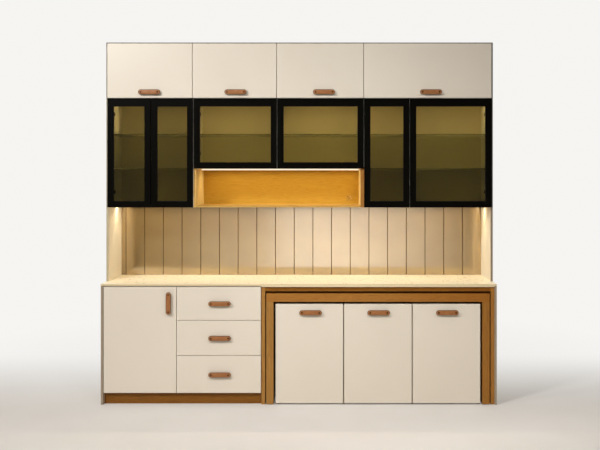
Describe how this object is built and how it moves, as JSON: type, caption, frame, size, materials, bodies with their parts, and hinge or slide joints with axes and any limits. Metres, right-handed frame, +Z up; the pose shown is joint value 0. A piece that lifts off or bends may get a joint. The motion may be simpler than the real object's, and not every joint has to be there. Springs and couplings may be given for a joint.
{
  "type": "dining sideboard with glass-front upper cabinet",
  "caption": "Full-height cream sideboard with black-framed glass doors, lift-up flaps, a lit oak niche, drawers, and an oak pull-out table nested over tall pull-outs.",
  "frame": {"origin": "on the floor, at the middle of the part's width and depth, handles included", "axes": "+X to the right seen from the front, +Y to the back (the front faces -Y), +Z up"},
  "size_m": [2.64, 0.545, 2.436],
  "materials": {
    "cream_front": "smooth matte cream lacquer",
    "cream_board": "matte cream melamine board",
    "splash_lacquer": "satin lacquer, grooved",
    "counter_stone": "honed cream slab",
    "brown_oak": "oiled brown oak",
    "honey_oak": "satin honey oak",
    "black_aluminium": "black anodised",
    "tinted_glass": "tea-grey tint",
    "clear_glass": "clear, polished edge",
    "tan_leather": "tan saddle leather",
    "steel": "dark plated steel",
    "aluminium": "natural anodised",
    "led_diffuser": "frosted, lit warm white",
    "nylon": "dark nylon"
  },
  "bodies": {
    "cabinet": {"upper_uprights": "cream_board", "upper_decks": "cream_board", "upper_back_panel": "cream_board", "splash_panel": "splash_lacquer", "niche_boards": "honey_oak", "glass_shelves": "clear_glass", "shelf_supports": "steel", "led_channels": "aluminium", "led_diffusers": "led_diffuser", "hinge_arms": "steel", "hinge_pins": "steel", "countertop": "counter_stone", "base_uprights": "cream_board", "bay_lining": "brown_oak", "base_decks": "cream_board", "base_back_panel": "cream_board", "toe_kick": "brown_oak", "runner_rails": "steel"},
    "flap_1": {"flap_1_panel": "cream_front", "flap_1_handle": "tan_leather"},
    "flap_2": {"flap_2_panel": "cream_front", "flap_2_handle": "tan_leather"},
    "flap_3": {"flap_3_panel": "cream_front", "flap_3_handle": "tan_leather"},
    "flap_4": {"flap_4_panel": "cream_front", "flap_4_handle": "tan_leather"},
    "glass_door_1": {"glass_door_1_frame": "black_aluminium", "glass_door_1_pane": "tinted_glass"},
    "glass_door_2": {"glass_door_2_frame": "black_aluminium", "glass_door_2_pane": "tinted_glass"},
    "glass_door_3": {"glass_door_3_frame": "black_aluminium", "glass_door_3_pane": "tinted_glass"},
    "glass_door_4": {"glass_door_4_frame": "black_aluminium", "glass_door_4_pane": "tinted_glass"},
    "glass_door_5": {"glass_door_5_frame": "black_aluminium", "glass_door_5_pane": "tinted_glass"},
    "glass_door_6": {"glass_door_6_frame": "black_aluminium", "glass_door_6_pane": "tinted_glass"},
    "base_door": {"base_door_panel": "cream_front", "base_door_handle": "tan_leather"},
    "drawer_1": {"drawer_1_front": "cream_front", "drawer_1_box": "cream_board", "drawer_1_handle": "tan_leather"},
    "drawer_2": {"drawer_2_front": "cream_front", "drawer_2_box": "cream_board", "drawer_2_handle": "tan_leather"},
    "drawer_3": {"drawer_3_front": "cream_front", "drawer_3_box": "cream_board", "drawer_3_handle": "tan_leather"},
    "pullout_1": {"pullout_1_front": "cream_front", "pullout_1_box": "cream_board", "pullout_1_handle": "tan_leather"},
    "pullout_2": {"pullout_2_front": "cream_front", "pullout_2_box": "cream_board", "pullout_2_handle": "tan_leather"},
    "pullout_3": {"pullout_3_front": "cream_front", "pullout_3_box": "cream_board", "pullout_3_handle": "tan_leather"},
    "table": {"table_boards": "brown_oak", "table_glides": "nylon"}
  },
  "joints": [
    {"name": "flap_1_lift", "type": "hinge", "parent": "cabinet", "child": "flap_1", "pos_m": [-1.01872, -0.125, 2.4215], "axis": [-1, 0, 0], "range_deg": [0, 90]},
    {"name": "flap_2_lift", "type": "hinge", "parent": "cabinet", "child": "flap_2", "pos_m": [-0.44246, -0.125, 2.4215], "axis": [-1, 0, 0], "range_deg": [0, 90]},
    {"name": "flap_3_lift", "type": "hinge", "parent": "cabinet", "child": "flap_3", "pos_m": [0.14098, -0.125, 2.4215], "axis": [-1, 0, 0], "range_deg": [0, 90]},
    {"name": "flap_4_lift", "type": "hinge", "parent": "cabinet", "child": "flap_4", "pos_m": [0.87272, -0.125, 2.4215], "axis": [-1, 0, 0], "range_deg": [0, 90]},
    {"name": "glass_door_1_hinge", "type": "hinge", "parent": "cabinet", "child": "glass_door_1", "pos_m": [-1.3025, -0.125, 1.68131], "axis": [0, 0, -1], "range_deg": [0, 100]},
    {"name": "glass_door_2_hinge", "type": "hinge", "parent": "cabinet", "child": "glass_door_2", "pos_m": [-0.72843, -0.125, 1.68131], "axis": [0, 0, 1], "range_deg": [0, 90]},
    {"name": "glass_door_3_hinge", "type": "hinge", "parent": "cabinet", "child": "glass_door_3", "pos_m": [-0.71443, -0.125, 1.81383], "axis": [0, 0, -1], "range_deg": [0, 90]},
    {"name": "glass_door_4_hinge", "type": "hinge", "parent": "cabinet", "child": "glass_door_4", "pos_m": [0.43245, -0.125, 1.81383], "axis": [0, 0, 1], "range_deg": [0, 90]},
    {"name": "glass_door_5_hinge", "type": "hinge", "parent": "cabinet", "child": "glass_door_5", "pos_m": [0.44645, -0.125, 1.68131], "axis": [0, 0, -1], "range_deg": [0, 90]},
    {"name": "glass_door_6_hinge", "type": "hinge", "parent": "cabinet", "child": "glass_door_6", "pos_m": [1.3025, -0.125, 1.68131], "axis": [0, 0, 1], "range_deg": [0, 100]},
    {"name": "base_door_hinge", "type": "hinge", "parent": "cabinet", "child": "base_door", "pos_m": [-1.2965, -0.242, 0.432], "axis": [0, 0, -1], "range_deg": [0, 100]},
    {"name": "drawer_1_slide", "type": "slide", "parent": "cabinet", "child": "drawer_1", "axis": [0, -1, 0], "range_m": [0, 0.36]},
    {"name": "drawer_2_slide", "type": "slide", "parent": "cabinet", "child": "drawer_2", "axis": [0, -1, 0], "range_m": [0, 0.36]},
    {"name": "drawer_3_slide", "type": "slide", "parent": "cabinet", "child": "drawer_3", "axis": [0, -1, 0], "range_m": [0, 0.36]},
    {"name": "pullout_1_slide", "type": "slide", "parent": "cabinet", "child": "pullout_1", "axis": [0, -1, 0], "range_m": [0, 0.36]},
    {"name": "pullout_2_slide", "type": "slide", "parent": "cabinet", "child": "pullout_2", "axis": [0, -1, 0], "range_m": [0, 0.36]},
    {"name": "pullout_3_slide", "type": "slide", "parent": "cabinet", "child": "pullout_3", "axis": [0, -1, 0], "range_m": [0, 0.36]},
    {"name": "table_slide", "type": "slide", "parent": "cabinet", "child": "table", "axis": [0, -1, 0], "range_m": [0, 0.4]}
  ]
}
